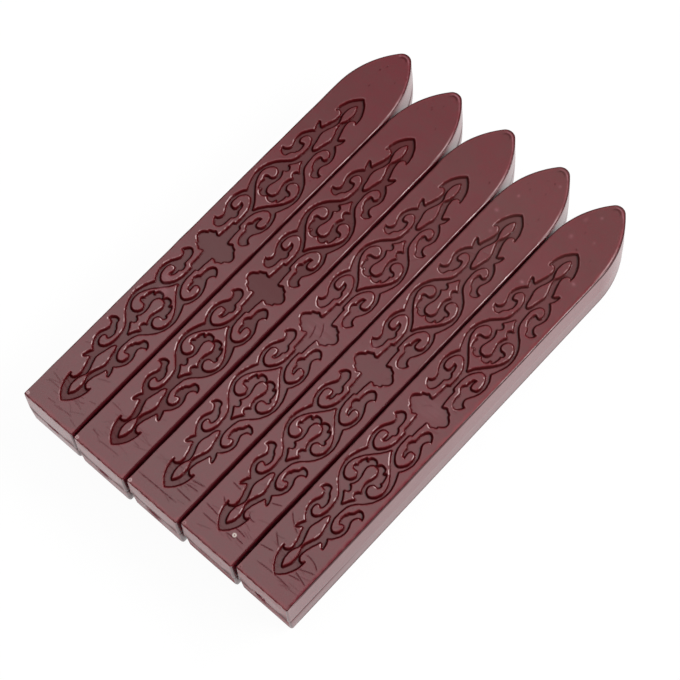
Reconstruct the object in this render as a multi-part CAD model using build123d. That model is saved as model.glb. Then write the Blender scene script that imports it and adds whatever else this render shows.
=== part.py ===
from build123d import *
import math
import os

# A set of five cast sealing wax sticks that lie side by side, in millimetres.
# Each stick runs along X, butt to -X and pointed nose to +X. The row runs along Y, Z is up.
# The origin is under the middle of the row, on the surface that the sticks rest on.

# One stick
stick_length = 90.5
stick_width = 11.7
stick_height = 11.0
parting_height = 5.0
draft_angle = 1.0
butt_corner_bevel = 0.35
bottom_edge_radius = 1.0
bottom_edge_flats = 2
top_edge_bevel = 0.15

# Pointed nose: two arcs that run from straight sides into a small round tip
nose_length = 12.4
nose_radius = 1.85

# Sunk ornament on the upper face and the bare wax left round it
ornament_depth = 0.45
bare_butt = 3.0
bare_nose = 11.55
bare_side = 1.07

# The ornament's round edges are cut as straight chords, so that a row of sticks stays light
turn_per_chord = 38.0
curve_steps = 120

# The row: gap between neighbours at their widest, and how far each butt stands ahead of the hindmost
neighbour_gap = 0.18
butt_ahead = (0.05, 0.0, 0.45, 1.0, 1.55)

# One quarter of the ornament, from the middle of the stick towards the nose.
# Each stretch is a smooth curve through (along, across) points, and stretches meet in sharp corners.
cartouche = [
    [(0, 4.08), (0.6, 3.9), (1.05, 3.45), (1.3, 3.1)],
    [(1.3, 3.1), (1.65, 3.05), (1.9, 2.6), (2.15, 2.2)],
    [(2.15, 2.2), (2.3, 1.98), (2.12, 1.6), (2.05, 1.17)],
]
stem_and_volute = [
    [(2.05, 1.17), (3.5, 1.02), (5.3, 0.97)],
    [(5.3, 0.97), (5.6, 0.53)],
    [(5.6, 0.53), (7.0, 0.5), (8.6, 0.68), (9.9, 1.3), (10.72, 2.42), (10.1, 3.25),
     (8.7, 3.64), (7.65, 3.35), (7.55, 2.62), (8.2, 2.42), (9.1, 2.52)],
    [(9.1, 2.52), (8.95, 1.92), (8.2, 1.6), (7.45, 1.55)],
    [(7.45, 1.55), (6.7, 1.12), (6.05, 1.3), (5.65, 1.72)],
]
inner_leaf = [
    [(5.65, 1.72), (4.7, 1.73), (3.3, 2.1), (2.82, 2.8), (3.3, 3.65), (4.22, 4.1)],
    [(4.22, 4.1), (4.55, 3.48), (5.3, 3.27), (6.2, 3.7), (7.3, 4.25), (8.8, 4.48),
     (10.4, 4.15), (11.5, 3.52)],
]
medallion_and_scroll = [
    [(11.5, 3.52), (13.0, 4.17), (15.2, 4.67), (17.4, 4.25), (19.4, 2.98), (21.1, 1.42),
     (23.0, 1.02), (25.1, 1.2), (26.15, 2.15), (25.3, 2.97), (24.42, 2.7), (24.62, 2.1),
     (23.8, 1.63), (22.6, 1.88)],
]
outer_leaf = [
    [(22.6, 1.88), (22.05, 2.1), (21.5, 2.62), (20.7, 2.93), (20.55, 3.55), (21.0, 4.3),
     (21.82, 4.55)],
    [(21.82, 4.55), (21.95, 3.8), (22.8, 3.4), (23.8, 3.72), (25.0, 3.98), (26.5, 3.57),
     (27.75, 2.53)],
]
thorn_and_arrow = [
    [(27.75, 2.53), (28.5, 2.93), (29.5, 3.13)],
    [(29.5, 3.13), (29.72, 2.9), (29.35, 2.42), (29.05, 1.98)],
    [(29.05, 1.98), (30.5, 1.5), (32.2, 1.1), (33.1, 1.3), (33.4, 1.75), (33.0, 2.15)],
    [(33.0, 2.15), (33.0, 2.4)],
    [(33.0, 2.4), (34.6, 2.25), (36.2, 1.6), (37.87, 0)],
]
ornament_edge = (
    cartouche + stem_and_volute + inner_leaf + medallion_and_scroll + outer_leaf + thorn_and_arrow
)

# Islands left standing inside the ornament, upper half of each, both ends on the centre line
lozenge_island = [
    [(24.67, 0), (24.9, 0.2), (26.3, 0.58), (28.0, 0.97), (29.6, 0.55), (31.87, 0.13)],
    [(31.87, 0.13), (32.6, 0.45), (33.8, 0.67), (35.1, 0.47), (35.92, 0)],
]
keyhole_island = [
    [(13.42, 0), (13.5, 0.5), (14.2, 0.92), (15.8, 0.65), (17.2, 0.58), (18.2, 1.05)],
    [(18.2, 1.05), (18.55, 0.58), (19.1, 0.38), (19.55, 0.6), (19.8, 1.08)],
    [(19.8, 1.08), (20.7, 0.42), (21.57, 0)],
]
crescent_island = [
    [(9.47, 0), (11.0, 0.95), (13.4, 2.95), (15.4, 3.79), (17.1, 3.45), (17.82, 2.4),
     (16.8, 1.48), (16.0, 1.9), (15.95, 2.6), (15.5, 3.03), (14.85, 2.65)],
    [(14.85, 2.65), (13.6, 2.58), (12.95, 2.12), (13.25, 1.77)],
    [(13.25, 1.77), (12.35, 1.35), (12.35, 0.5), (12.92, 0)],
]

# Sizes that follow from those above
upper_height = stick_height - parting_height
upper_inset = upper_height * math.tan(math.radians(draft_angle))
ornament_half_length = (stick_length - 2 * upper_inset - bare_butt - bare_nose) / 2
ornament_half_width = stick_width / 2 - upper_inset - bare_side
ornament_middle = upper_inset + bare_butt + ornament_half_length
drawn_half_length = max(along for stretch in ornament_edge for along, across in stretch)
drawn_half_width = max(across for stretch in ornament_edge for along, across in stretch)
row_pitch = stick_width + neighbour_gap
row_length = stick_length + max(butt_ahead)


# Outline of a stick at the parting line, butt on the Y axis
def stick_outline():
    half_width = stick_width / 2
    shoulder = stick_length - nose_length
    tip_centre = stick_length - nose_radius
    # The side arc starts square at the shoulder and runs into the tip circle without a corner.
    run = tip_centre - shoulder
    side_radius = (run**2 + half_width**2 - nose_radius**2) / (2 * (half_width - nose_radius))
    lean = math.atan2(side_radius - half_width, run)
    meet_x = tip_centre + nose_radius * math.cos(lean)
    meet_y = nose_radius * math.sin(lean)
    edges = [
        Line((0, -half_width), (shoulder, -half_width)),
        TangentArc((shoulder, -half_width), (meet_x, -meet_y), tangent=(1, 0)),
        ThreePointArc((meet_x, -meet_y), (stick_length, 0), (meet_x, meet_y)),
        TangentArc((shoulder, half_width), (meet_x, meet_y), tangent=(1, 0)),
        Line((shoulder, half_width), (0, half_width)),
        Line((0, half_width), (0, -half_width)),
    ]
    face = make_face(edges)
    butt_corners = face.vertices().sort_by(Axis.X)[:2]
    return chamfer(butt_corners, butt_corner_bevel)


# Plain stick: drafted both ways from the parting line, crisp above, a round bottom edge cut as flats
def plain_stick():
    outline = Pos(0, 0, parting_height) * stick_outline()
    lower_wall = parting_height - bottom_edge_radius
    body = extrude(outline, upper_height, taper=draft_angle)
    body += extrude(outline, lower_wall, dir=(0, 0, -1), taper=draft_angle)
    flat_width = 2 * bottom_edge_radius * math.sin(math.pi / (4 * bottom_edge_flats))
    for flat in range(bottom_edge_flats):
        lean = (flat + 0.5) * 90 / bottom_edge_flats
        drop = flat_width * math.cos(math.radians(lean))
        sole = body.faces().sort_by(Axis.Z)[0]
        body += extrude(sole, drop, dir=(0, 0, -1), taper=lean)
    return chamfer(body.faces().sort_by(Axis.Z)[-1].edges(), top_edge_bevel)


# Straight chords along a curve, each taking an equal share of its turning
def chords(curve):
    steps = [step / curve_steps for step in range(curve_steps + 1)]
    tangents = [curve.tangent_at(step) for step in steps]
    bends = [before.get_angle(after) for before, after in zip(tangents, tangents[1:])]
    count = math.ceil(sum(bends) / turn_per_chord)
    share = sum(bends) / count
    corners = [0.0]
    turned = 0.0
    for step, bend in zip(steps, bends):
        while len(corners) < count and turned + bend > share * len(corners):
            corners.append(step + (share * len(corners) - turned) / bend / curve_steps)
        turned += bend
    corners.append(1.0)
    return Polyline(*[curve.position_at(corner) for corner in corners]).edges()


# Stretches turned into edges, fitted to the room that the stick leaves for the ornament
def edges_of(stretches):
    stretch_along = ornament_half_length / drawn_half_length
    stretch_across = ornament_half_width / drawn_half_width
    edges = []
    for stretch in stretches:
        points = [(along * stretch_along, across * stretch_across) for along, across in stretch]
        edges += chords(Spline(*points)) if len(points) > 2 else Line(*points).edges()
    return edges


def mirrored(edges, plane):
    return [edge.mirror(plane) for edge in edges]


# Loop of an island: its upper half and the mirror image below the centre line
def island_loops(stretches):
    upper = edges_of(stretches)
    loop = upper + mirrored(upper, Plane.XZ)
    return [Wire(loop), Wire(mirrored(loop, Plane.YZ))]


# Tool that sinks the ornament into the upper face
def ornament_tool():
    quarter = edges_of(ornament_edge)
    half = quarter + mirrored(quarter, Plane.XZ)
    outer = Wire(half + mirrored(half, Plane.YZ))
    islands = []
    for stretches in (lozenge_island, keyhole_island, crescent_island):
        islands += island_loops(stretches)
    face = Face(outer, islands)
    if face.normal_at().Z < 0:
        face = -face
    floor = stick_height - ornament_depth
    return Pos(ornament_middle, 0, floor) * extrude(face, 2 * ornament_depth, dir=(0, 0, 1))


# The five sticks, stick 1 at the +Y end of the row
os.makedirs("parts", exist_ok=True)
stick = plain_stick() - ornament_tool()
row_middle = (len(butt_ahead) - 1) / 2
for place, ahead in enumerate(butt_ahead):
    butt_x = ahead - row_length / 2
    stick_y = (row_middle - place) * row_pitch
    export_step(Pos(butt_x, stick_y, 0) * stick, f"parts/wax_stick_{place + 1}.step")
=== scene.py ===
"""A row of cast sealing wax sticks with a sunk scroll ornament, lying on a pale table."""

import math

import bmesh
import bpy
import numpy as np
from bpy.props import FloatProperty, FloatVectorProperty, PointerProperty
from bpy.types import Operator, Panel, PropertyGroup
from mathutils import Matrix, Vector


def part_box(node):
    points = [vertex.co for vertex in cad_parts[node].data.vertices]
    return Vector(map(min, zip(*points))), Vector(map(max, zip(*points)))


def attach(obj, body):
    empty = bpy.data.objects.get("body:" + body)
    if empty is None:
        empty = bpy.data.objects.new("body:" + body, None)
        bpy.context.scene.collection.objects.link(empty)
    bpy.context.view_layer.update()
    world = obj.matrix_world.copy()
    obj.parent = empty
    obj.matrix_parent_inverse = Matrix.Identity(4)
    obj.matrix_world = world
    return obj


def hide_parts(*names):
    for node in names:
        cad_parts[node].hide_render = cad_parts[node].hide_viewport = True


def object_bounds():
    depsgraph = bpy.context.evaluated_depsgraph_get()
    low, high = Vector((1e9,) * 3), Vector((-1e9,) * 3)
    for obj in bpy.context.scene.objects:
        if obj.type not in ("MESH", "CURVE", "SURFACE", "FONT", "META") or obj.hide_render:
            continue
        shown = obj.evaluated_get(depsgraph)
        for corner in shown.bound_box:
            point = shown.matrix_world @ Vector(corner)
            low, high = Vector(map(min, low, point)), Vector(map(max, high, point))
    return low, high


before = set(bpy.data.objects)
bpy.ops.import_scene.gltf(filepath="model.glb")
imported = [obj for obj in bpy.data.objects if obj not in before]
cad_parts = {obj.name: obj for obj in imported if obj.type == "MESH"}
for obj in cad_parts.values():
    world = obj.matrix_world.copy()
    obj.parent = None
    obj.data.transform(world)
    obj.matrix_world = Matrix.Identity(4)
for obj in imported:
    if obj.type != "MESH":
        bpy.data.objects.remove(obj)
cad_low, cad_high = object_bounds()

bl_info = {
    "name": "Sealing wax sticks",
    "version": (1, 0, 0),
    "blender": (4, 5, 0),
    "location": "3D View > Sidebar > Wax",
    "description": "Casts a row of sealing wax sticks and sets the table that they lie on",
    "category": "Object",
}

MM = 0.001
STICKS = ("1", "2", "3", "4", "5")
FIRST_LOW, FIRST_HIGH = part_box("wax_stick_1")

# One quarter of the ornament in millimetres, from the middle of the stick towards the nose.
# Each stretch is a smooth curve through (along, across) points, and stretches meet in sharp corners.
CARTOUCHE = [
    [(0, 4.08), (0.6, 3.9), (1.05, 3.45), (1.3, 3.1)],
    [(1.3, 3.1), (1.65, 3.05), (1.9, 2.6), (2.15, 2.2)],
    [(2.15, 2.2), (2.3, 1.98), (2.12, 1.6), (2.05, 1.17)],
]
STEM_AND_VOLUTE = [
    [(2.05, 1.17), (3.5, 1.02), (5.3, 0.97)],
    [(5.3, 0.97), (5.6, 0.53)],
    [(5.6, 0.53), (7.0, 0.5), (8.6, 0.68), (9.9, 1.3), (10.72, 2.42), (10.1, 3.25),
     (8.7, 3.64), (7.65, 3.35), (7.55, 2.62), (8.2, 2.42), (9.1, 2.52)],
    [(9.1, 2.52), (8.95, 1.92), (8.2, 1.6), (7.45, 1.55)],
    [(7.45, 1.55), (6.7, 1.12), (6.05, 1.3), (5.65, 1.72)],
]
INNER_LEAF = [
    [(5.65, 1.72), (4.7, 1.73), (3.3, 2.1), (2.82, 2.8), (3.3, 3.65), (4.22, 4.1)],
    [(4.22, 4.1), (4.55, 3.48), (5.3, 3.27), (6.2, 3.7), (7.3, 4.25), (8.8, 4.48),
     (10.4, 4.15), (11.5, 3.52)],
]
MEDALLION_AND_SCROLL = [
    [(11.5, 3.52), (13.0, 4.17), (15.2, 4.67), (17.4, 4.25), (19.4, 2.98), (21.1, 1.42),
     (23.0, 1.02), (25.1, 1.2), (26.15, 2.15), (25.3, 2.97), (24.42, 2.7), (24.62, 2.1),
     (23.8, 1.63), (22.6, 1.88)],
]
OUTER_LEAF = [
    [(22.6, 1.88), (22.05, 2.1), (21.5, 2.62), (20.7, 2.93), (20.55, 3.55), (21.0, 4.3),
     (21.82, 4.55)],
    [(21.82, 4.55), (21.95, 3.8), (22.8, 3.4), (23.8, 3.72), (25.0, 3.98), (26.5, 3.57),
     (27.75, 2.53)],
]
THORN_AND_ARROW = [
    [(27.75, 2.53), (28.5, 2.93), (29.5, 3.13)],
    [(29.5, 3.13), (29.72, 2.9), (29.35, 2.42), (29.05, 1.98)],
    [(29.05, 1.98), (30.5, 1.5), (32.2, 1.1), (33.1, 1.3), (33.4, 1.75), (33.0, 2.15)],
    [(33.0, 2.15), (33.0, 2.4)],
    [(33.0, 2.4), (34.6, 2.25), (36.2, 1.6), (37.87, 0)],
]
ORNAMENT_EDGE = (
    CARTOUCHE + STEM_AND_VOLUTE + INNER_LEAF + MEDALLION_AND_SCROLL + OUTER_LEAF + THORN_AND_ARROW
)

# Islands left standing inside the ornament, upper half of each, both ends on the centre line
LOZENGE_ISLAND = [
    [(24.67, 0), (24.9, 0.2), (26.3, 0.58), (28.0, 0.97), (29.6, 0.55), (31.87, 0.13)],
    [(31.87, 0.13), (32.6, 0.45), (33.8, 0.67), (35.1, 0.47), (35.92, 0)],
]
KEYHOLE_ISLAND = [
    [(13.42, 0), (13.5, 0.5), (14.2, 0.92), (15.8, 0.65), (17.2, 0.58), (18.2, 1.05)],
    [(18.2, 1.05), (18.55, 0.58), (19.1, 0.38), (19.55, 0.6), (19.8, 1.08)],
    [(19.8, 1.08), (20.7, 0.42), (21.57, 0)],
]
CRESCENT_ISLAND = [
    [(9.47, 0), (11.0, 0.95), (13.4, 2.95), (15.4, 3.79), (17.1, 3.45), (17.82, 2.4),
     (16.8, 1.48), (16.0, 1.9), (15.95, 2.6), (15.5, 3.03), (14.85, 2.65)],
    [(14.85, 2.65), (13.6, 2.58), (12.95, 2.12), (13.25, 1.77)],
    [(13.25, 1.77), (12.35, 1.35), (12.35, 0.5), (12.92, 0)],
]

# For each stick, with lengths in millimetres: height of the mould's parting line
PARTING_LINES = (4.4, 4.9, 5.2, 4.8, 4.7)
# How plain the parting line stays away from the butt
FAR_SEAMS = (0.9, 0.9, 0.4, 0.4, 0.0)
# How far the upper left edge is drawn in
LEFT_DRAWS = (0.0, 0.0, 0.14, 0.0, 0.04)
# How far the lower half of the butt stands back
LEDGES = (0.02, 0.1, 0.16, 0.2, 0.16)
# How deep the long creases are, and how dark the painted shade in them
CREASE_STRENGTHS = (0.5, 0.55, 1.0, 1.0, 1.0)
# How dull the sunk floor is in the middle. It gets duller towards both ends.
HOLLOW_DULLNESS = (1.0, 1.6, 0.25, 0.4, 0.15)
# How much duller the butt is below the parting line
BUTT_DULLNESS = (0.15, 0.65, 0.5, 1.2, 0.8)
# Strength of the grey bloom towards the nose
BLOOMS = (0.0, 0.003, 0.009, 0.018, 0.014)

# Creases in the upper face of each stick: where one starts and ends (along, across), in millimetres,
# and its bow as a share of its length
CREASES = (
    (
        (4.8, 4.3, 4.8, 1.6, 0.03), (6.3, 4.5, 5.8, 2.1, 0), (2.3, -0.2, 2.5, -3.5, 0.02),
        (2.3, 2.0, 2.5, 0.2, 0), (10.2, -1.9, 11.2, -4.1, 0.04), (5.5, -2.1, 5.7, -3.5, -0.2),
        (6.5, -3.8, 6.8, -5.1, 0),
    ),
    (
        (2.6, 2.1, 2.8, -2.5, 0.02), (6.3, -2.7, 6.2, -4.0, 0), (8.9, 5.2, 8.8, 2.7, 0.03),
        (3.4, 4.2, 3.2, 2.4, 0),
    ),
    (
        (6.2, -2.3, 6.5, -4.8, 0.03), (4.65, -1.7, 4.55, -5.1, 0), (7.35, -2.7, 7.85, -5.0, 0),
        (2.65, 5.2, 2.8, -3.4, 0), (41.2, 1.0, 38.7, 0.2, 0.06), (42.3, 0.2, 39.8, -1.1, 0.08),
    ),
    (
        (3.9, 4.0, 3.9, 0.8, 0), (5.5, 4.7, 5.2, 1.8, 0.02), (4.0, -1.1, 4.1, -2.9, 0),
        (5.5, -1.8, 5.4, -4.1, 0.03), (4.4, -3.0, 4.3, -4.6, 0), (8.2, 3.3, 7.3, 2.1, 0),
        (9.0, -1.8, 8.3, -3.5, -0.2), (12.5, -3.3, 13.3, -5.0, 0), (11.0, 3.9, 10.9, 2.0, 0),
    ),
    (
        (3.2, 3.7, 3.25, -3.6, 0.03), (4.8, -1.7, 5.3, -3.8, 0.04), (6.0, -2.3, 5.2, -5.1, 0),
        (6.6, -2.4, 7.6, -5.0, 0.03), (9.2, -1.6, 8.2, -4.9, 0.12), (8.9, 4.6, 7.3, 2.7, 0),
        (13.2, 5.0, 10.9, 1.8, -0.05), (5.6, 5.3, 6.2, 2.7, 0),
    ),
)

# Pale smears on each stick, partly real smears and partly painted highlights near the nose and tip: where one
# lies (along, across) and its radius, in millimetres, and its strength
SMEARS = (
    (
        (29.6, 1.6, 0.6, 0.5), (29.0, 0.7, 0.6, 0.5), (31.4, 2.1, 0.8, 0.3),
        (89.4, 1.0, 0.2, 0.9),
    ),
    ((33.0, 4.9, 0.3, 0.6), (89.5, 0.8, 0.2, 0.6)),
    ((40.5, -0.3, 2.4, 0.22),),
    (
        (76.7, 3.9, 0.35, 0.6), (81.1, 2.8, 0.25, 0.5), (87.1, -1.4, 0.3, 0.5), (72.9, 2.1, 0.35, 0.4),
        (44.0, 2.6, 0.8, 0.3),
    ),
    (
        (80.5, 3.0, 0.35, 0.6), (68.6, 3.7, 0.3, 0.6), (74.0, -3.1, 0.35, 0.5), (86.5, 1.2, 0.25, 0.5),
        (84.6, 3.1, 0.35, 0.4), (82.1, -0.8, 0.25, 0.4), (41.0, 0.0, 2.4, 0.15),
    ),
)

# Curled bead of wax at a corner of each butt, painted as a ring of painted highlight and red with painted
# shade: where it lies (along, across) and its radius, in millimetres, and how much of its ring is painted
# highlight rather than red
BEADS = (
    (0.75, 5.1, 0.2, 0.55), (0.6, 5.12, 0.24, 0.6), (0.6, 5.1, 0.25, 0.6), (0.6, 5.1, 0.24, 0.2),
    (0.7, 5.0, 0.25, 0.1),
)

# Scar of the pouring gate on each butt: its middle (across, up), half its length and half its height,
# in millimetres
SCARS = (
    (-0.1, 4.3, 1.6, 1.0), (-0.2, 4.4, 1.5, 1.8), (0.4, 3.8, 1.7, 2.2), (0.2, 4.8, 1.5, 0.8),
    (0.8, 5.0, 1.5, 2.0),
)

# A ring of dust on the fourth stick: along, across and radius, in millimetres
DUST_STICK = 3
DUST_RING = (4.5, -2.53, 0.25)

# What the mesh of a stick carries for its finish, its painted shade and its painted highlights
MARKS = (
    "rim", "flank", "butt", "hollow", "wall", "painted_shade", "crease_and_shade", "smear_and_highlight", "painted_highlight", "glint", "dust", "scar",
)

# Seeds of the swells and strokes. The number of the stick is added to each. The worn lip and pale bevel seeds
# place the patches of painted highlight.
SEEDS = {
    "level": 10, "red edge": 20, "ornament edge": 30, "strokes": 40, "worn lip": 60, "scar": 70, "stray": 80,
    "pale bevel": 90, "butt edge": 100, "dark edge": 110, "chips": 120, "highlight stretch": 130,
}

# Faint creases with painted shade, drawn at random: how many, from and to along, turn in degrees, longest
# length and strength
FAINT_STROKES = (
    (12, 1.8, 9.0, -88, 3.6, 0.45), (6, 3.0, 16.0, -60, 2.4, 0.4), (7, 18.0, 72.0, -70, 2.0, 0.35),
    (9, 79.0, 87.0, -90, 0.25, 0.9), (14, 2.0, 79.0, -90, 0.2, 0.7),
)

# Half the width of the finely meshed band of the upper face, in millimetres
FINE_HALF = 4.8

# Mesh columns: shares of the bevel, millimetres below it and from the parting line, degrees round the foot
BEVEL_SHARES = (0.14, 0.86, 1.0)
UNDER_BEVEL = (0.03, 0.55, 0.85)
ROUND_SEAM = (0.95, 0.5, 0.22, 0.0, -0.22, -0.5)
FOOT_TURNS = (30, 60, 90)

# Outermost rings that close a butt, as shares of the way from its middle to its edge
OUTER_RINGS = (0.8, 0.86, 0.9, 0.93, 0.955, 0.975, 0.99)

# Half the height of the parting groove and half the width of a crease, in millimetres
SEAM_REACH = 0.26
CREASE_REACH = 0.085

# How fast the butt's own forms die away along the stick, and how far its half of the ornament is squeezed
BUTT_FADE = 25
BUTT_SQUEEZE = 1.008

# Lamps: where one stands, its width and its depth, and the point that both look at, in metres
SOFTBOX = ((-0.05, 0.18, 0.57), 0.46, 0.36)
WINDOW = ((0.36, -0.37, 0.385), 0.55, 0.05)
LAMP_AIM = (0, 0, 0.01)


# Values on the panel. Lengths are given in millimetres and angles in degrees.
def Length(name, description, millimetres):
    return FloatProperty(name=name, description=description, default=millimetres * MM, unit="LENGTH")


def Angle(name, description, degrees):
    return FloatProperty(name=name, description=description, default=math.radians(degrees), subtype="ANGLE")


def Colour(name, description, red, green, blue):
    return FloatVectorProperty(
        name=name, description=description, default=(red, green, blue, 1.0), size=4, subtype="COLOR",
        min=0.0, max=1.0,
    )


def Factor(name, description, value):
    return FloatProperty(
        name=name, description=description, default=value, min=0.0, max=1.0, subtype="FACTOR",
    )


def Power(name, description, value):
    return FloatProperty(name=name, description=description, default=value, min=0.0)


class WaxStickSizes(PropertyGroup):
    """Sizes of one cast stick. Its length, width and height come from the frame."""

    nose_length: Length("Nose length", "From the shoulder to the tip", 12.4)
    nose_radius: Length("Nose radius", "Round of the tip, seen from above", 1.85)
    widest_height: Length("Widest height", "Height from which both halves of the mould taper", 5.0)
    draft: Angle("Draft", "Taper of the side walls", 1.0)
    corner_radius: Length("Butt corner radius", "Round of the upright corners at the butt", 0.3)
    left_foot_radius: Length(
        "Left foot corner radius", "Round of the left butt corner where it meets the table", 0.95,
    )
    right_foot_radius: Length(
        "Right foot corner radius", "Round of the right butt corner where it meets the table", 0.5,
    )
    bottom_radius: Length("Bottom edge radius", "Round of the edge that meets the table", 0.8)
    top_bevel: Length(
        "Top edge bevel", "Width of the small bevel along the upper edge, seen from above", 0.12,
    )
    bevel_slope: Angle("Bevel slope", "Slope of that bevel", 37)
    left_pinch: Length("Left pinch", "How far the upper left edge leans in towards the butt", 0.22)
    right_pinch: Length("Right pinch", "How far the upper right edge leans in towards the butt", 0.12)
    flare: Length("Flare", "How far the upper right corner stands out again at the butt", 0.2)
    wander: Length("Wander", "How far the long upper edges stray from straight", 0.06)
    seam_depth: Length("Seam depth", "Depth of the parting line round the stick", 0.07)
    ornament_middle: Length("Ornament middle", "From the butt to the middle of the ornament", 40.975)
    ornament_depth: Length("Ornament depth", "How deep the ornament is sunk", 0.45)
    lip_drop: Length("Lip drop", "How far the worn lip of the ornament falls before its wall starts", 0.065)
    wall_run: Length("Wall run", "Width of the ornament's sloping walls, seen from above", 0.24)
    grid_step: Length("Grid step", "Mesh spacing over the ornament, and width of its worn lip", 0.122)


class WaxColours(PropertyGroup):
    """Colours and finish of the wax, with the colours of its painted shade and painted highlights."""

    wine: Colour("Wine red", "Body colour of the wax", 0.094, 0.006, 0.011)
    brown: Colour("Brown red", "Duller patches in the wax", 0.078, 0.011, 0.013)
    rim: Colour("Rim red", "Livelier red along thin edges", 0.17, 0.008, 0.015)
    flank: Colour("Flank red", "Untouched wax of the sides and the butt", 0.128, 0.010, 0.017)
    butt: Colour("Butt red", "Clear red of the untouched butts", 0.22, 0.012, 0.02)
    hollow: Colour("Hollow brown", "Dull floor of the sunk ornament", 0.066, 0.0115, 0.013)
    # Painted shade: this deep red, laid at dark edges, at the foot of the ornament's walls, under the
    # right-hand bevel and along the foot of the sides, stands for shade.
    painted_shade: Colour("Painted shade red", "Deep red of dark edges and at the foot of walls", 0.024, 0.0004, 0.0009)
    wall: Colour("Wall red", "Clear red of the ornament's walls", 0.085, 0.004, 0.006)
    # Painted shade: this dark red, laid in the creases and in the parting groove, stands for the shade in
    # them.
    crease_and_shade: Colour("Crease shade red", "Dark red in creases and in the parting line", 0.04, 0.002, 0.004)
    scar: Colour("Scar red", "Raw red of the pouring gate's scar and of one bare edge", 0.2, 0.016, 0.032)
    # Partly painted highlight: besides real smears, this pale pink is laid near the tips and inside the
    # nose's right-hand edge as painted highlight.
    smear_and_highlight: Colour("Smear and highlight pink", "Pale smears of rubbed wax", 0.26, 0.09, 0.11)
    # Painted highlight: this pale pink, laid along the lips of the ornament, the right-hand bevel, the nose
    # and just under the butt's upper edge, stands for glints of light.
    painted_highlight: Colour("Painted highlight", "Pale worn wax along lips and edges", 0.8, 0.6, 0.6)
    dust: Colour("Dust", "Pale dust and grey bloom", 0.7, 0.62, 0.55)
    roughness: Factor("Roughness", "Roughness of the cast surface", 0.34)
    polish: Factor("Polish", "Weight of the shiny skin on the wax", 0.48)


class WaxStage(PropertyGroup):
    """Table, lamps and camera."""

    table: Colour("Table", "Colour of the table", 0.95, 0.95, 0.95)
    daylight: Power("Room light", "Strength of the even light in the room", 0.3)
    softbox: Power("Softbox", "Power of the wide lamp overhead", 1.42)
    window: Power("Window", "Power of the long lamp at the side", 5.0)
    aim: FloatVectorProperty(
        name="Aim", description="Point that the camera looks at",
        default=(-3.604 * MM, -3.774 * MM, 10.022 * MM), size=3, subtype="TRANSLATION", unit="LENGTH",
    )
    azimuth: Angle("Azimuth", "Turn of the camera round the row", -40.308)
    elevation: Angle("Elevation", "Height of the camera above the horizon", 66.342)
    roll: Angle("Roll", "Tilt of the camera about its own axis", -7.938)
    distance: Length("Distance", "From the camera to its aim", 389.0)
    lens: FloatProperty(
        name="Lens", description="Focal length on a 36 mm sensor", default=122.75, unit="CAMERA",
    )


def smooth(points, step=0.04 * MM):
    """Smooth line through points: a cubic spline on chord length, whose first two and last two pieces are
    one cubic each. Two points give a straight line and three a parabola."""
    places = np.array(points, float) * MM
    chord = np.diff(places, axis=0)
    run = np.hypot(chord[:, 0], chord[:, 1])
    knots = np.concatenate([[0.0], np.cumsum(run)])
    count = len(places)
    bend = np.zeros((count, 2))
    if count > 2:
        slope = chord / run[:, None]
        matrix = np.zeros((count, count))
        right = np.zeros((count, 2))
        inner = np.arange(1, count - 1)
        matrix[inner, inner - 1] = run[:-1]
        matrix[inner, inner] = 2 * (run[:-1] + run[1:])
        matrix[inner, inner + 1] = run[1:]
        right[inner] = 6 * (slope[1:] - slope[:-1])
        if count == 3:
            matrix[0, :2] = (1, -1)
            matrix[-1, -2:] = (1, -1)
        else:
            matrix[0, :3] = (run[1], -run[0] - run[1], run[0])
            matrix[-1, -3:] = (run[-1], -run[-2] - run[-1], run[-2])
        bend = np.linalg.solve(matrix, right)
    at = np.linspace(0.0, knots[-1], max(2, math.ceil(knots[-1] / step)))
    piece = np.clip(np.searchsorted(knots, at, side="right") - 1, 0, count - 2)
    ahead = (knots[piece + 1] - at)[:, None]
    behind = (at - knots[piece])[:, None]
    width = run[piece][:, None]
    return (
        (bend[piece] * ahead**3 + bend[piece + 1] * behind**3) / (6 * width)
        + (places[piece] / width - bend[piece] * width / 6) * ahead
        + (places[piece + 1] / width - bend[piece + 1] * width / 6) * behind
    )


def edge_lines():
    """Points along every edge of the quarter ornament, each with a unit normal that looks into the recess:
    the mean of those of the two chords beside it, or on a line of symmetry only the part along that line."""
    places = []
    normals = []
    for stretches, side in (
        (ORNAMENT_EDGE, 1), (LOZENGE_ISLAND, -1), (KEYHOLE_ISLAND, -1), (CRESCENT_ISLAND, -1),
    ):
        pieces = [smooth(stretch) for stretch in stretches]
        line = np.concatenate([piece[:-1] for piece in pieces] + [pieces[-1][-1:]])
        chord = np.diff(line, axis=0)
        chord = chord / np.hypot(chord[:, 0], chord[:, 1])[:, None]
        across = side * np.stack([chord[:, 1], -chord[:, 0]], axis=1)
        normal = np.concatenate([across[:1], across[1:] + across[:-1], across[-1:]])
        normal[[0, -1]] *= np.abs(line[[0, -1]]) > 1e-9
        places.append(line)
        normals.append(normal / np.maximum(np.hypot(normal[:, 0], normal[:, 1]), 1e-9)[:, None])
    return np.concatenate(places), np.concatenate(normals)


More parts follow.
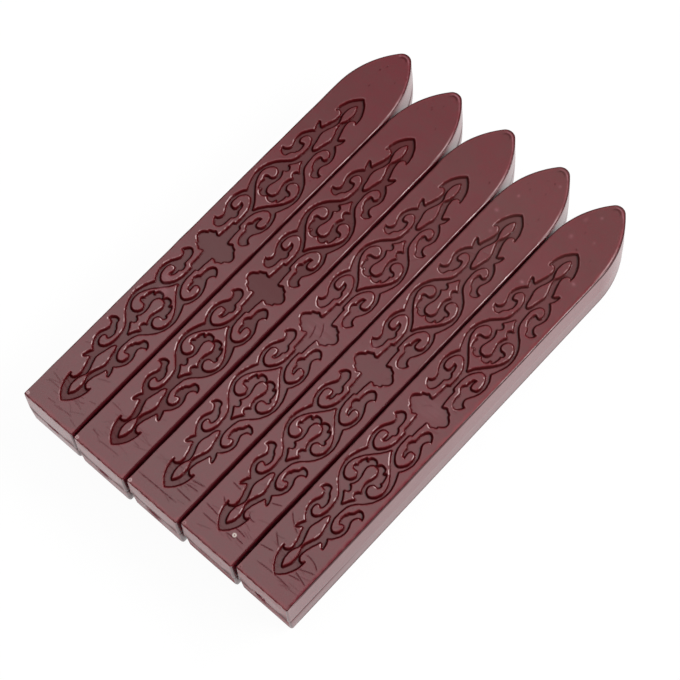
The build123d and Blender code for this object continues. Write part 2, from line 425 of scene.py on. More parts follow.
def ornament_field(along, across):
    """Distance from each point to the nearest edge of the ornament, above 0 inside the recess, and the way
    into it. The four quarters mirror each other, so a point is folded into the first one."""
    places, normals = edge_lines()
    folded = np.stack([np.abs(along), np.abs(across)], axis=1)
    nearest = np.empty(len(folded), int)
    block_size = 600
    for start in range(0, len(folded), block_size):
        block = folded[start:start + block_size]
        gap_u = block[:, None, 0] - places[None, :, 0]
        gap_v = block[:, None, 1] - places[None, :, 1]
        nearest[start:start + block_size] = (gap_u**2 + gap_v**2).argmin(axis=1)
    gap = folded - places[nearest]
    normal = normals[nearest]
    inside = np.sign((gap * normal).sum(axis=1))
    distance = inside * np.hypot(gap[:, 0], gap[:, 1])
    way = normal * np.stack([np.where(along < 0, -1, 1), np.where(across < 0, -1, 1)], axis=1)
    return distance, way


def ramp(place, zero, one):
    """A straight line from 0 at one place to 1 at another, level beyond both. They are in millimetres."""
    return np.clip((place - zero * MM) / ((one - zero) * MM), 0, 1)


def bell(gap, reach):
    """Bell curve that is 1 where the gap is 0. Its reach is in millimetres."""
    return np.exp(-((gap / (reach * MM)) ** 2))


class StickShape:
    """One stick in its own place: u along from the butt, v across, z up, all as arrays of rows by columns.
    A column is a share of the width (-1 to 1), an inset that draws the outline in, and a height.
    A row is a share of the length. The rows start with rings that close the butt."""

    def __init__(self, size):
        self.size = size
        self.length = FIRST_HIGH.x - FIRST_LOW.x
        self.half = (FIRST_HIGH.y - FIRST_LOW.y) / 2
        self.height = FIRST_HIGH.z
        self.shoulder = self.length - size.nose_length
        self.tip = self.length - size.nose_radius
        run = self.tip - self.shoulder
        self.bow = (run**2 + self.half**2 - size.nose_radius**2) / (2 * (self.half - size.nose_radius))
        self.lean = math.atan2(self.bow - self.half, run)
        self.drop = size.top_bevel * math.tan(size.bevel_slope)
        self.top_inset = self.wall(self.height - self.drop) + size.top_bevel

    def lift(self, z):
        """Share of the way from the widest height up to the top face."""
        return np.clip((z - self.size.widest_height) / (self.height - self.size.widest_height), 0, 1)

    def wall(self, z):
        """How far the drafted wall stands in from the widest outline, at height z."""
        return np.abs(z - self.size.widest_height) * math.tan(self.size.draft)

    def half_width(self, u, inset, corner):
        """Half the width at u on the outline drawn in by inset: a straight side, an arc that starts square
        at the shoulder, a round tip that the arc runs into, and a quarter circle at the butt corner."""
        radius = self.size.nose_radius - inset
        past = np.maximum(u - self.shoulder, 0)
        side = self.half - self.bow + np.sqrt(np.maximum((self.bow - inset) ** 2 - past**2, 0))
        nose = np.sqrt(np.maximum(radius**2 - (u - self.tip) ** 2, 0))
        meet = self.tip + radius * math.cos(self.lean)
        width = np.where(u < meet, side, nose)
        into = np.clip(corner - (u - inset), 0, corner)
        return width - corner + np.sqrt(np.maximum(corner**2 - into**2, 0))

    def edge_gap(self, u, v):
        """Distance of a point on the top face from its edge: from the side and its arc, or from the round tip
        for a point ahead of where the arc meets it."""
        past = np.maximum(u - self.shoulder, 0)
        side = self.bow - self.top_inset - np.hypot(past, np.abs(v) + self.bow - self.half)
        nose = self.size.nose_radius - self.top_inset - np.hypot(u - self.tip, v)
        return np.where(np.arctan2(np.abs(v), u - self.tip) < self.lean, nose, side)

    def columns(self, line):
        """Share, inset, height and corner radius of the columns round the section: across the top from -v to
        +v, down the +v side, back along the bottom and up the -v side."""
        size = self.size
        top_half = self.half - self.top_inset
        fine_half = FINE_HALF * MM
        hem = 0.04 * MM
        fine = np.linspace(-fine_half, fine_half, 2 * round(fine_half / size.grid_step) + 1)
        margin = np.append(np.linspace(fine_half, top_half - hem, 6)[1:], top_half)
        top = np.concatenate([-margin[::-1], fine, margin]) / top_half
        bevel = np.array(BEVEL_SHARES)
        edge_z = self.height - self.drop * bevel
        edge_inset = self.top_inset - size.top_bevel * bevel
        seam = line + np.array(ROUND_SEAM) * MM
        upper = np.append(edge_z[-1] - np.array(UNDER_BEVEL) * MM, (edge_z[-1] + seam[0]) / 2)
        lower = np.linspace(seam[-1], size.bottom_radius, 4)[1:]
        widest = size.widest_height + 0.01 * MM
        wall_z = np.sort(np.concatenate([upper, seam, lower, [widest]]))[::-1]
        wall_inset = self.wall(wall_z) + self.groove(wall_z, line)
        turn = np.radians(FOOT_TURNS)
        foot_z = size.bottom_radius * (1 - np.sin(turn))
        foot_inset = self.wall(size.bottom_radius) + size.bottom_radius * (1 - np.cos(turn))
        side_z = np.concatenate([edge_z, wall_z, foot_z])
        side_inset = np.concatenate([edge_inset, wall_inset, foot_inset])
        side = np.ones(len(side_z))
        under = np.linspace(1, -1, 7)[1:-1]
        flat = np.ones(len(top))
        sole = np.ones(len(under))
        share = np.concatenate([top, side, under, -side])
        inset = np.concatenate([self.top_inset * flat, side_inset, foot_inset[-1] * sole, side_inset[::-1]])
        z = np.concatenate([self.height * flat, side_z, 0 * sole, side_z[::-1]])
        foot_round = np.where(share > 0, size.left_foot_radius, size.right_foot_radius)
        round_off = foot_round + (size.corner_radius - foot_round) * z / self.height
        corner = np.maximum(round_off - (inset - self.wall(z)), 0.03 * MM)
        return len(top), share, inset, z, corner

    def rows(self):
        """Shares of the length, close together round the butt corners, even over the ornament and
        following a sine towards the tip."""
        size = self.size
        quarter = math.pi / 2
        corner = size.left_foot_radius * (1 - np.cos(np.linspace(0, quarter, 12)))
        fine_start = 1.8 * MM
        fine_end = 79.3 * MM
        butt = np.linspace(corner[-1], fine_start, 8)[1:-1]
        fine = np.linspace(fine_start, fine_end, round((fine_end - fine_start) / size.grid_step))
        nose = fine_end + (self.length - fine_end) * np.sin(np.linspace(0, quarter, 46)[1:])
        return np.concatenate([corner, butt, fine, nose]) / self.length

    def groove(self, z, line):
        """Depth of the parting groove at height z: a bell curve about the parting line."""
        return self.size.seam_depth * bell(z - line, SEAM_REACH)

    def butt_face(self, z, line):
        """Depth of the butt at height z: the drafted wall, bevelled in at the top edge and rounded in at the
        bottom edge, with the parting line as a shallow groove."""
        size = self.size
        above = np.clip(z - (self.height - self.drop), 0, self.drop)
        below = np.clip(size.bottom_radius - z, 0, size.bottom_radius)
        depth = self.wall(z)
        depth = depth + above / math.tan(size.bevel_slope)
        depth = depth + size.bottom_radius - np.sqrt(size.bottom_radius**2 - below**2)
        return depth + self.groove(z, line)

    def ledge(self, z, line, depth):
        """How far the lower half of the butt stands back: a straight slope, 0.5 mm high and centred on the
        parting line, from 0 above it to the whole depth below."""
        return depth * np.clip(0.5 + (line - z) / (0.5 * MM), 0, 1)

    def seam_left(self, u, far):
        """How plain the parting line is at u: whole at the butt and down to the far value beyond."""
        return 1 - (1 - far) * ramp(u, 6, 20)

    def grid(self, line, ledge, far):
        """Places (u, v, z) of the whole closed surface, the number of rows that close the butt and the number
        of columns on the top face. The upper edges lean in towards the butt. Away from it the parting groove
        is partly filled. Rings that shrink from the first row to a point on the parting line close the
        butt."""
        size = self.size
        top_count, share, inset, z, corner = self.columns(line)
        rows = self.rows()[:, None]
        near_butt = np.exp(-BUTT_FADE * rows)
        u = inset + rows * (self.length - 2 * inset)
        pinch = np.where(share > 0, size.left_pinch, size.right_pinch) * (1 - rows) ** 2
        flare = np.where(share > 0, 0, size.flare) * near_butt
        filled = (1 - self.seam_left(u, far)) * np.maximum(inset - self.wall(z), 0)
        filled *= np.abs(z - line) < 1.0 * MM
        filled *= ramp(self.length - inset - u, 0, 1)
        v = share * (self.half_width(u, inset, corner) - self.lift(z) * (pinch - flare) + filled)
        u = u + self.ledge(z, line, ledge) * near_butt
        height = np.broadcast_to(z, u.shape)
        inner_rings = np.linspace(0, 0.3, 15)[:-1]
        middle_rings = np.linspace(0.3, 0.8, 13)[:-1]
        inward = np.concatenate([inner_rings, middle_rings, OUTER_RINGS])[:, None]
        cap_v = v[0] * inward
        cap_z = line + (z - line) * inward**1.6
        cap_u = self.butt_face(cap_z, line) + self.ledge(cap_z, line, ledge)
        caps = np.stack([cap_u, cap_v, cap_z], axis=2)
        lengths = np.stack([u, v, height], axis=2)
        return np.concatenate([caps, lengths]), len(inward), top_count


def waves(u, v, seed, length, count=9):
    """Swells between 0 and 1: a sum of plane waves about one length long, of drawn directions and phases."""
    draw = np.random.default_rng(seed)
    turns = draw.uniform(0, math.tau, count)
    phases = draw.uniform(0, math.tau, count)
    stretches = draw.uniform(0.6, 1.7, count)
    total = np.zeros(np.shape(u))
    for turn, phase, stretch in zip(turns, phases, stretches):
        way = u * math.cos(turn) + v * math.sin(turn)
        total += np.sin(math.tau * way / (length * stretch) + phase)
    return 0.5 + 0.5 * np.tanh(total / math.sqrt(count))


def crease_mask(u, v, strokes):
    """How deep each point lies in a crease: a bell curve of its distance to the nearest point of a bowed
    stroke, fading towards the stroke's ends."""
    steps = np.linspace(0, 1, 80)
    margin = 3 * CREASE_REACH * MM
    mask = np.zeros(np.shape(u))
    for start_u, start_v, end_u, end_v, bow, strength in strokes:
        side = 4 * bow * steps * (1 - steps)
        line_u = start_u + (end_u - start_u) * steps - (end_v - start_v) * side
        line_v = start_v + (end_v - start_v) * steps + (end_u - start_u) * side
        close = (u > line_u.min() - margin) & (u < line_u.max() + margin)
        close &= (v > line_v.min() - margin) & (v < line_v.max() + margin)
        apart = np.hypot(u[close][:, None] - line_u, v[close][:, None] - line_v)
        share = steps[apart.argmin(axis=1)]
        fade = strength * np.clip(0.3 + 6 * np.minimum(share, 1 - share), 0, 1)
        mask[close] = np.maximum(mask[close], fade * bell(apart.min(axis=1), CREASE_REACH))
    return mask


def faint_strokes(seed):
    """Fainter creases in drawn places: hair lines across the butt end, a few along the stick, and pits."""
    draw = np.random.default_rng(seed)
    strokes = []
    for count, u_low, u_high, turn, longest, strength in FAINT_STROKES:
        for _ in range(count):
            start_u = draw.uniform(u_low, u_high)
            start_v = draw.uniform(-0.8, 1.0) * min(4.9, 0.85 * (91.0 - start_u))
            lean = math.radians(turn + draw.normal(0, 18))
            run = longest * draw.uniform(0.4, 1.0)
            end_u = start_u + run * math.cos(lean)
            end_v = start_v + run * math.sin(lean)
            bow = draw.normal(0, 0.05)
            strokes.append((start_u, start_v, end_u, end_v, bow, strength * draw.uniform(0.5, 1.0)))
    return strokes


def close_mesh(name, places, marks):
    """Mesh of a grid whose columns run round and whose first and last rows close on themselves."""
    rows, columns = places.shape[:2]
    index = np.arange(rows * columns).reshape(rows, columns)
    right = np.roll(index, -1, axis=1)
    faces = np.stack([index[:-1], index[1:], right[1:], right[:-1]], axis=2).reshape(-1, 4)
    mesh = bpy.data.meshes.new(name)
    mesh.from_pydata(places.reshape(-1, 3), [], faces)
    for mark, values in marks.items():
        layer = mesh.attributes.new(mark, "FLOAT", "POINT")
        layer.data.foreach_set("value", np.ascontiguousarray(values.reshape(-1), np.float32))
    work = bmesh.new()
    work.from_mesh(mesh)
    bmesh.ops.remove_doubles(work, verts=work.verts, dist=1e-7)
    work.to_mesh(mesh)
    work.free()
    mesh.shade_smooth()
    return mesh


class Value:
    """A shader socket that can be used in sums. Each operator adds a Math node."""

    def __init__(self, nodes, socket):
        self.nodes = nodes
        self.socket = socket

    def math(self, operation, first, second):
        return self.nodes.add("ShaderNodeMath", {0: first, 1: second}, operation=operation)

    def __add__(self, other):
        return self.math("ADD", self, other)

    __radd__ = __add__

    def __sub__(self, other):
        return self.math("SUBTRACT", self, other)

    def __rsub__(self, other):
        return self.math("SUBTRACT", other, self)

    def __mul__(self, other):
        return self.math("MULTIPLY", self, other)

    __rmul__ = __mul__


class Nodes:
    """The nodes of one material or world."""

    def __init__(self, owner):
        owner.use_nodes = True
        self.tree = owner.node_tree
        self.tree.nodes.clear()

    def add(self, kind, sockets=None, output=0, **settings):
        """Adds a node: its type, the values or links of its sockets, the output wanted and its settings."""
        node = self.tree.nodes.new(kind)
        for name, value in settings.items():
            setattr(node, name, value)
        for name, value in (sockets or {}).items():
            if isinstance(value, Value):
                self.tree.links.new(value.socket, node.inputs[name])
            else:
                node.inputs[name].default_value = value
        return Value(self, node.outputs[output]) if node.outputs else None

    def mix(self, first, second, factor):
        """Colour mix."""
        return self.add("ShaderNodeMix", {0: factor, 6: first, 7: second}, 2, data_type="RGBA")

    def mark(self, name):
        """A value that the mesh carries."""
        return self.add("ShaderNodeAttribute", output="Fac", attribute_name=name)

    def clamp(self, value):
        return self.add("ShaderNodeClamp", {0: value})

    def noise(self, place, scale, detail):
        return self.add("ShaderNodeTexNoise", {"Vector": place, "Scale": scale, "Detail": detail})


def wax_material(colours):
    """Wine-red wax: a dark red body with duller patches, on which each mark lays its colour, painted shade
    and painted highlights among them, under a satin skin of uneven roughness. Walls, painted shade, creases
    and scars are matt."""
    material = bpy.data.materials.new("wine_red_wax")
    nodes = Nodes(material)
    place = nodes.add("ShaderNodeTexCoord", output="Object")
    across = nodes.add("ShaderNodeMapping", {"Vector": place, "Scale": (1.0, 0.22, 1.0)})
    broad = nodes.noise(place, 140.0, 3.0)
    fine = nodes.noise(place, 1100.0, 4.0)
    grain = nodes.noise(place, 4200.0, 2.0)
    flow = nodes.noise(across, 1300.0, 3.0)
    marks = [nodes.mark(mark) for mark in MARKS]
    rim, flank, butt, hollow, wall, painted_shade, crease_and_shade, smear_and_highlight, painted_highlight, glint, dust, scar = marks
    dull = nodes.clamp(2.2 * broad + 1.2 * fine + 1.2 * flow + 1.6 * grain - 2.6)
    colour = nodes.mix(tuple(colours.wine), tuple(colours.brown), dull)
    # Among these colours the deep red of dark edges and wall feet and the dark crease red are painted shade,
    # the pale pink of lips and edges is a painted highlight, and the smear pink is partly one.
    for paint, strength in (
        (colours.flank, flank), (colours.butt, 5.0 * butt), (colours.hollow, hollow),
        (colours.rim, rim * (0.5 + 0.8 * fine)), (colours.wall, wall), (colours.painted_shade, painted_shade),
        (colours.smear_and_highlight, smear_and_highlight * (3.0 * flow - 0.7)), (colours.scar, scar), (colours.crease_and_shade, crease_and_shade),
        (colours.painted_highlight, painted_highlight * (0.3 + 1.0 * fine)), (colours.dust, dust),
    ):
        colour = nodes.mix(colour, tuple(paint), nodes.clamp(strength))
    rough = colours.roughness - 0.06 + 0.12 * broad + 0.06 * fine + 0.4 * painted_shade
    skin = colours.polish * (1 - 0.3 * hollow + 0.95 * flank) + 0.5 * glint
    shine = skin * (1 - butt * (0.1 + 0.8 * flow))
    whole = (1 - 0.8 * wall) * (1 - 0.9 * painted_shade) * (1 - 0.95 * crease_and_shade) * (1 - 0.85 * scar)
    relief = fine + 0.5 * grain + 0.6 * flow
    bump = nodes.add("ShaderNodeBump", {"Strength": 0.3, "Distance": 0.1 * MM, "Height": relief})
    matt = nodes.add("ShaderNodeBsdfPrincipled", {
        "Base Color": colour, "Roughness": 0.8, "Specular IOR Level": 0.0,
    })
    satin = nodes.add("ShaderNodeBsdfPrincipled", {
        "Base Color": colour, "Roughness": rough, "IOR": 1.12, "Coat Weight": nodes.clamp(shine),
        "Coat Roughness": 0.25, "Coat IOR": 1.6, "Normal": bump,
    })
    wax = nodes.add("ShaderNodeMixShader", {0: nodes.clamp(whole), 1: matt, 2: satin})
    nodes.add("ShaderNodeOutputMaterial", {"Surface": wax})
    return material


class CastStick:
    """One stick of the row: the points of its surface, and the marks from which its finish is mixed."""

    def __init__(self, shape, number):
        self.shape = shape
        self.number = number
        self.last = number == len(STICKS) - 1
        self.line = PARTING_LINES[number] * MM
        ledge = LEDGES[number] * MM
        self.places, cap_count, self.top_count = shape.grid(self.line, ledge, FAR_SEAMS[number])
        self.caps = np.s_[:cap_count]
        self.sides = np.s_[cap_count:]
        self.face = np.s_[cap_count:, :self.top_count]
        self.marks = {mark: np.zeros(self.places.shape[:2]) for mark in MARKS}

    def swells(self, purpose, u, v, length):
        """Gentle swells between 0 and 1 for a purpose on this stick. Their length is in millimetres."""
        return waves(u, v, SEEDS[purpose] + self.number, length * MM)

    def lay(self, mark, values):
        """Lays a mark on the upper face, where it is stronger than what is there."""
        self.marks[mark][self.face] = np.maximum(self.marks[mark][self.face], values)

    def add(self, mark, values):
        """Adds to a mark on the upper face."""
        self.marks[mark][self.face] += values

    def ornament(self):
        """Distance from each point of the upper face to the ornament's edge, and the way into the recess."""
        top = self.places[self.face]
        along = top[:, :, 0] - self.shape.size.ornament_middle
        squeezed = np.where(along < 0, BUTT_SQUEEZE * along, along)
        distance, way = ornament_field(squeezed.ravel(), top[:, :, 1].ravel())
        return distance.reshape(along.shape), way.reshape(along.shape + (2,))

    def dress(self, distance, way):
        """Sinks the ornament, whose edges wander a little from stick to stick, and marks the stick. The lip
        falls in a straight line over one grid step, then the wall over its run, and the floor is level but
        for swells and creases. Points near either side of the lip or the foot of the wall slide onto it."""
        size = self.shape.size
        top = self.places[self.face]
        wander = self.swells("ornament edge", top[:, :, 0], top[:, :, 1], 1.1) - 0.5
        distance = distance + 0.05 * MM * wander
        for goal in (-size.grid_step, 0.0, size.wall_run):
            near = np.abs(distance - goal) < size.grid_step / 2
            top[near, :2] += (goal - distance[near])[:, None] * way[near]
            distance[near] = goal
        u = top[:, :, 0].copy()
        v = top[:, :, 1].copy()
        lip = np.clip(1 + distance / size.grid_step, 0, 1)
        sunk = np.clip(distance / size.wall_run, 0, 1)
        strokes = [stroke + (CREASE_STRENGTHS[self.number],) for stroke in CREASES[self.number]]
        strokes += faint_strokes(SEEDS["strokes"] + self.number)
        crease_and_shade = crease_mask(u, v, np.array(strokes) * (MM, MM, MM, MM, 1, 1))
        swell = 0.02 * MM * self.swells("level", u, v, 7.0)
        fall = size.lip_drop * lip + (size.ornament_depth - size.lip_drop) * sunk
        top[:, :, 2] -= fall + swell + 0.04 * MM * crease_and_shade
        self.mark_sides()
        self.mark_ornament(u, v, distance, way, sunk)
        self.mark_margin(u, v)
        self.mark_spots(u, v)
        self.mark_nose(u, v)
        # Painted shade in the creases.
        self.lay("crease_and_shade", crease_and_shade)
        self.mark_butt()

    def mark_sides(self):
        """Marks the sides and the bevel, which carries painted shade, with a painted highlight on the right
        from the middle to the shoulder. The right-hand side carries painted shade under its bevel and at its
        foot, and pale patches just under the butt's upper edge are painted highlights. The long upper edges
        also stray inwards a little, and the butt's upper edge is chipped."""
        shape = self.shape
        marks = self.marks
        places = self.places
        caps = self.caps
        sides = self.sides
        u, v, z = (places[:, :, axis].copy() for axis in range(3))
        right = v < 0
        from_top = z - shape.height
        marks["flank"][:, self.top_count:] = 1
        marks["flank"][caps] = 1
        marks["flank"][sides] *= np.where(z[sides] < self.line, 0.75, 1)
        marks["flank"][sides] *= 1 - 0.13 * ramp(u[sides], 50, 30)
        outwards = np.sign(v) * ramp(np.abs(v), FINE_HALF, FINE_HALF + 0.5) * shape.lift(z)
        stray = shape.size.wander * self.swells("stray", u, v, 7.0)
        stray += LEFT_DRAWS[self.number] * MM * ramp(u, -10, 30) * ramp(u, 84, 76) * (v > 0)
        places[:, :, 1] -= outwards * stray
        chipped = ramp(from_top, -0.8, 0) * np.exp(-u / (0.3 * MM))
        places[:, :, 0] += 0.13 * MM * chipped * self.swells("chips", v, v, 1.0)
        bevel = (from_top > -1.05 * shape.drop) * 1.0
        bevel[self.face] = 0
        bevel[caps] *= from_top[caps] > -shape.drop
        # Painted highlight along the right-hand bevel, in patches.
        bright = ramp(u, 40, 68) * ramp(u, 80, 76) * right
        bright *= 0.1 + 0.38 * self.swells("pale bevel", u, v, 4.0)
        # Ragged patches on the butt: painted highlight just under its upper edge, and red along that edge
        # between the patches.
        ragged = np.clip(2.6 * self.swells("butt edge", places[:, :, 1], z, 1.2) - 1.2, 0, 1)
        butt_edge = bevel * (u < 0.5 * MM)
        below = ramp(from_top, -0.9, -0.2) * (from_top < -shape.drop)
        below[sides] = 0
        # Painted shade on the bevel: weaker along the butt's edge and on the right than on the left.
        deep = np.where(butt_edge > 0, 0.3 + 0.5 * ragged, np.where(right, 0.66, 0.9))
        wall = ramp(u, 1, 4) * right
        wall[:, :self.top_count] = 0
        wall[caps] = 0
        # Painted shade on the right-hand side: a band under the bevel, strong on the last stick, and a band
        # at the foot.
        under = 0.8 if self.last else 0.12
        stripes = under * (from_top > -shape.drop - 0.6 * MM) + 0.55 * (z < 1.0 * MM)
        marks["flank"] *= 1 - bevel
        marks["painted_highlight"] = np.maximum(bevel * bright, 0.35 * ragged * below)
        marks["rim"] = butt_edge * (1 - ragged)
        marks["glint"] = bevel * bright
        marks["painted_shade"] = np.maximum(bevel * (1 - bright) * deep, wall * stripes)

    def mark_ornament(self, u, v, distance, way, sunk):
        """Marks the ornament: a red lip with patches of painted highlight where it faces forward and to the
        right, where it also shines more, clear walls with painted shade at their foot, and a dull floor."""
        facing = np.clip(0.75 * way[:, :, 0] - 0.66 * way[:, :, 1], 0, 1)
        fading = facing * (1 - 0.65 * ramp(u, 52, 66))
        # worn marks a line along the lip, which carries the red, the painted highlight and the extra shine.
        worn = bell(distance + self.shape.size.grid_step, 0.05)
        # Patches of painted highlight on the lip.
        patch = self.swells("worn lip", u, v, 1.4) + self.swells("highlight stretch", u, v, 4.5) - 0.5
        patch = np.clip(3.6 * patch - 2.0, 0, 1)
        inside = distance >= 0
        wall_end = 0.3 - 0.06 * facing
        # The painted shade at the foot of the walls reaches less far where they face forward and to the
        # right.
        foot_end = 0.41 - 0.1 * facing
        foot = inside * ramp(distance, foot_end, foot_end - 0.15)
        ends = ramp(u, 21, 9) + 0.6 * ramp(u, 64, 72)
        self.lay("rim", 0.45 * worn)
        self.lay("painted_highlight", 0.7 * worn * patch * fading * ramp(u, 2, 9))
        self.lay("glint", worn * fading)
        self.lay("hollow", sunk * (HOLLOW_DULLNESS[self.number] + ends))
        self.lay("wall", inside * ramp(distance, wall_end, wall_end - 0.08))
        self.lay("painted_shade", foot * (0.35 + 0.65 * sunk))

    def mark_margin(self, u, v):
        """Marks the edge of the upper face: a broken red line, livelier at the butt and the nose, and an
        outline of painted shade, which is fainter on the right except on the last stick, whose bare edge is
        also raw."""
        right = v < 0
        from_side = np.abs(v).max(axis=1, keepdims=True) - np.abs(v)
        from_butt = u - u[0].min()
        broken = 0.6 + 0.8 * self.swells("red edge", u, v, 3.0)
        edge = bell(np.minimum(from_side, from_butt), 0.4 * broken)
        lively = 0.15 + np.where(right, 0.45, 0.2) * ramp(u, 80, 85) + 0.6 * (u < 1.2 * MM)
        strength, reach = (1.0, 0.3) if self.last else (0.25, 0.13)
        outline = bell(from_side, np.where(right, reach, 0.13))
        outline *= np.where(v > 0, 1.0, strength * ramp(u, 40, 28))
        outline = np.maximum(outline, bell(from_butt, 0.16))
        outline *= 0.35 + 0.6 * self.swells("dark edge", u, v, 1.6)
        if self.last:
            lively = np.maximum(lively, 0.8 * right)
            self.lay("scar", 0.5 * outline * right * (u > 1.5 * MM))
        self.lay("rim", lively * edge)
        # The outline is painted shade.
        self.lay("painted_shade", outline)

    def mark_spots(self, u, v):
        """Marks the pale smears, partly painted highlights, the curled bead of wax at a corner of the butt as
        a ring of painted highlight and red with painted shade darkest in its middle, the grey bloom towards
        the nose and the ring of dust."""
        for along, across, radius, strength in SMEARS[self.number]:
            apart = np.hypot(u - along * MM, v - across * MM)
            self.add("smear_and_highlight", 0.7 * strength * bell(apart, radius))
        along, across, radius, pale = BEADS[self.number]
        apart = np.hypot(u - along * MM, v - across * MM)
        # The bead is painted: a ring of painted highlight and red, and painted shade darkest in its middle.
        ring = bell(apart - radius * MM, 0.1)
        self.add("painted_highlight", pale * ring)
        self.add("rim", (1 - pale) * ring)
        self.add("painted_shade", 0.6 * bell(apart, 0.13) + 0.5 * (1 - pale) * ring)
        self.add("dust", BLOOMS[self.number] * ramp(u, 45, 75))
        if self.number == DUST_STICK:
            along, across, radius = DUST_RING
            apart = np.hypot(u - along * MM, v - across * MM)
            self.add("dust", 0.8 * bell(apart - radius * MM, 0.1))

    def mark_nose(self, u, v):
        """Marks the lip of the upper face with painted light and shade: painted shade outside and a painted
        highlight inside round the nose's right-hand side and its tip, a dark crescent behind the tip, and a
        thin line of painted shade inside the pale right-hand edge."""
        gap = self.shape.edge_gap(u, v)
        nose = ramp(u, 76, 79)
        right = ramp(v, 0.9, 0.3)
        tip = bell(u - self.shape.length, 1.6)
        middle = 0.22 * np.maximum(ramp(u, 75, 82), 0.2) + 0.22 * tip
        pale = bell(gap - middle * MM, 0.1) * nose * right
        outer = bell(gap, 0.6 * middle) * nose * right
        crescent = bell(gap - 0.78 * MM, 0.15) * tip * ramp(np.abs(v), 1.0, 0.6)
        inner = bell(gap - 0.24 * MM, 0.12) * (v < 0) * ramp(u, 42, 62) * (1 - nose)
        self.add("smear_and_highlight", pale * (0.4 + 0.8 * tip))
        self.add("painted_highlight", 0.5 * pale * ramp(u, 84.5, 81.5))
        self.lay("painted_shade", 0.7 * outer)
        self.lay("painted_shade", 1.1 * crescent)
        self.lay("painted_shade", 0.35 * inner)

    def mark_butt(self):
        """Marks the parting line all round with painted shade, and marks and dents the pouring gate's scar on
        the butt, darkest in its core.
        """
        marks = self.marks
        caps = self.caps
        butt = np.s_[:caps.stop + 1]
        u, v, z = (self.places[:, :, axis] for axis in range(3))
        far = FAR_SEAMS[self.number]
        marks["butt"][butt] = 0.3 + 0.15 * self.number + BUTT_DULLNESS[self.number] * (z[butt] < self.line)
        groove = bell(z - self.line, SEAM_REACH + 0.5 * far * ramp(u, 40, 65)) * self.shape.seam_left(u, far)
        groove[caps] = bell(z[caps] - self.line - 0.45 * MM, 0.6)
        groove[self.face] = 0
        across, up, half_length, half_height = np.array(SCARS[self.number]) * MM
        ragged = self.swells("scar", v, z, 1.1)
        scar = np.hypot((v - across) / half_length, (z - up) / half_height)
        scar = np.clip(3.0 * (1.0 + 0.8 * (ragged - 0.5) - scar), 0, 1)
        scar[self.sides] = 0
        core = scar * np.clip(3 * ragged - 0.3, 0, 1)
        core *= np.exp(-(((z - up - 0.35 * half_height) / (0.4 * half_height)) ** 2))
        self.places[:, :, 0] += 0.05 * MM * scar * (0.35 + 0.65 * ragged)
        marks["crease_and_shade"] = np.maximum(marks["crease_and_shade"], np.maximum(0.85 * groove * (1 - scar), 0.9 * core))
        marks["scar"] = np.maximum(marks["scar"], scar)

    def mesh(self):
        """The closed mesh, moved to the stick's place in the row."""
        name = STICKS[self.number]
        low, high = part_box("wax_stick_" + name)
        self.places[:, :, 0] += low.x
        self.places[:, :, 1] += (low.y + high.y) / 2
        return close_mesh("cast_stick_" + name, self.places, self.marks)


class WAX_OT_cast_sticks(Operator):
    """Cast the five sticks, each in the place of its frame node"""

    bl_idname = "wax.cast_sticks"
    bl_label = "Cast sticks"

    def execute(self, context):
        scene = context.scene
        material = wax_material(scene.wax_colours)
        shape = StickShape(scene.wax_sizes)
        casts = [CastStick(shape, number) for number in range(len(STICKS))]
        distance, way = casts[0].ornament()
        for name, cast in zip(STICKS, casts):
            cast.dress(distance, way)
            piece = bpy.data.objects.new("cast_stick_" + name, cast.mesh())
            scene.collection.objects.link(piece)
            piece.data.materials.append(material)
            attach(piece, "stick_" + name)
            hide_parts("wax_stick_" + name)
        return {"FINISHED"}


def lamp(name, place, width, depth, power):
    """A rectangular soft lamp that looks at the row."""
    light = bpy.data.lights.new(name, "AREA")
    light.shape = "RECTANGLE"
    light.size = width
    light.size_y = depth
    light.energy = power
    holder = bpy.data.objects.new(name, light)
    bpy.context.scene.collection.objects.link(holder)
    holder.location = place
    holder.rotation_euler = (Vector(LAMP_AIM) - Vector(place)).to_track_quat("-Z", "Y").to_euler()


def seen_ray(nodes):
    """1 for rays that show the background: straight to the camera, by reflection or through glass."""
    path = nodes.add("ShaderNodeLightPath").socket.node
    names = ("Is Camera Ray", "Is Glossy Ray", "Is Transmission Ray")
    camera, glossy, through = (Value(nodes, path.outputs[name]) for name in names)
    return nodes.clamp(camera + glossy + through)


def table_material(stage):
    """Matt pale table. Where it is seen it is mostly plain white, and keeps a part of the shadow."""
    material = bpy.data.materials.new("pale_table")
    nodes = Nodes(material)
    matt = nodes.add("ShaderNodeBsdfDiffuse", {"Color": tuple(stage.table)})
    white = nodes.add("ShaderNodeEmission", {"Color": (1, 1, 1, 1), "Strength": 1.0})
    shown = nodes.add("ShaderNodeMixShader", {0: 0.95 * seen_ray(nodes), 1: matt, 2: white})
    nodes.add("ShaderNodeOutputMaterial", {"Surface": shown})
    return material


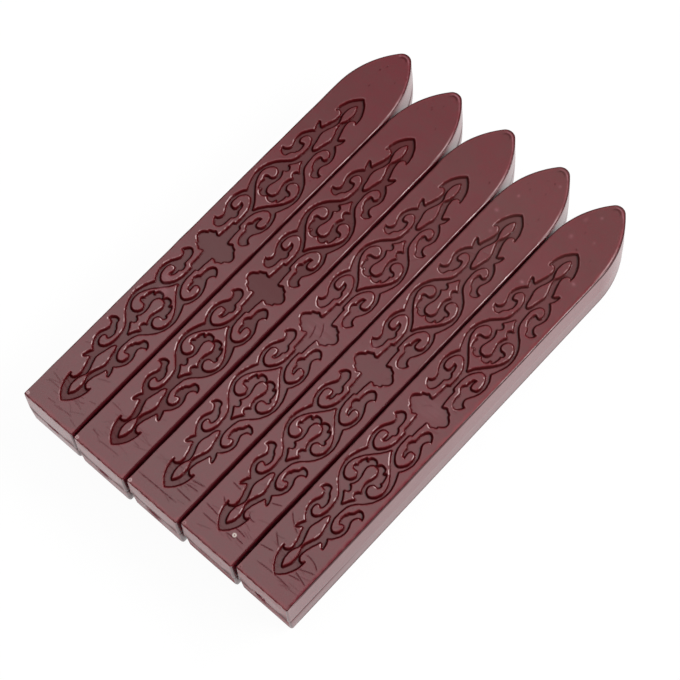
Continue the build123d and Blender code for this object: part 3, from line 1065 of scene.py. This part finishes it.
class WAX_OT_set_stage(Operator):
    """Set the table, the lamps and the camera"""

    bl_idname = "wax.set_stage"
    bl_label = "Set stage"

    def execute(self, context):
        scene = context.scene
        stage = scene.wax_stage
        self.table(scene, stage)
        self.room(scene, stage)
        lamp("overhead_softbox", *SOFTBOX, stage.softbox)
        lamp("side_window", *WINDOW, stage.window)
        self.camera(scene, stage)
        scene.view_settings.view_transform = "Standard"
        return {"FINISHED"}

    def table(self, scene, stage):
        """A wide flat sheet just under the sticks."""
        reach = 3.0
        mesh = bpy.data.meshes.new("table")
        corners = reach * np.array(((-1, -1, 0), (1, -1, 0), (1, 1, 0), (-1, 1, 0)), float)
        corners[:, 2] = cad_low.z - 0.01 * MM
        mesh.from_pydata(corners, [], [(0, 1, 2, 3)])
        mesh.materials.append(table_material(stage))
        table = bpy.data.objects.new("table", mesh)
        scene.collection.objects.link(table)

    def room(self, scene, stage):
        """Even light in the room, white where it is seen."""
        scene.world = bpy.data.worlds.new("white_room")
        nodes = Nodes(scene.world)
        strength = stage.daylight + (1 - stage.daylight) * seen_ray(nodes)
        light = nodes.add("ShaderNodeBackground", {"Color": (1, 1, 1, 1), "Strength": strength})
        nodes.add("ShaderNodeOutputWorld", {"Surface": light})

    def camera(self, scene, stage):
        """Camera on a line from its aim: back along azimuth and elevation, turned by the roll."""
        tilt = math.pi / 2 - stage.elevation
        turned = Matrix.Rotation(stage.azimuth, 3, "Z") @ Matrix.Rotation(tilt, 3, "X")
        turned = turned @ Matrix.Rotation(stage.roll, 3, "Z")
        data = bpy.data.cameras.new("camera")
        data.sensor_width = 36
        data.lens = stage.lens
        data.clip_start = 0.01
        camera = bpy.data.objects.new("camera", data)
        scene.collection.objects.link(camera)
        place = Matrix.Translation(Vector(stage.aim) + stage.distance * turned.col[2])
        camera.matrix_world = place @ turned.to_4x4()
        scene.camera = camera


class WAX_PT_sticks(Panel):
    """Sidebar panel"""

    bl_idname = "WAX_PT_sticks"
    bl_label = "Sealing wax sticks"
    bl_space_type = "VIEW_3D"
    bl_region_type = "UI"
    bl_category = "Wax"

    def draw(self, context):
        scene = context.scene
        for settings in (scene.wax_sizes, scene.wax_colours, scene.wax_stage):
            box = self.layout.box()
            for name in settings.__annotations__:
                box.prop(settings, name)
        self.layout.operator(WAX_OT_cast_sticks.bl_idname)
        self.layout.operator(WAX_OT_set_stage.bl_idname)


CLASSES = (WaxStickSizes, WaxColours, WaxStage, WAX_OT_cast_sticks, WAX_OT_set_stage, WAX_PT_sticks)


def register():
    for part in CLASSES:
        bpy.utils.register_class(part)
    bpy.types.Scene.wax_sizes = PointerProperty(type=WaxStickSizes)
    bpy.types.Scene.wax_colours = PointerProperty(type=WaxColours)
    bpy.types.Scene.wax_stage = PointerProperty(type=WaxStage)


def unregister():
    del bpy.types.Scene.wax_stage
    del bpy.types.Scene.wax_colours
    del bpy.types.Scene.wax_sizes
    for part in reversed(CLASSES):
        bpy.utils.unregister_class(part)


def main():
    register()
    bpy.ops.wax.cast_sticks()
    bpy.ops.wax.set_stage()


if __name__ == "__main__":
    main()
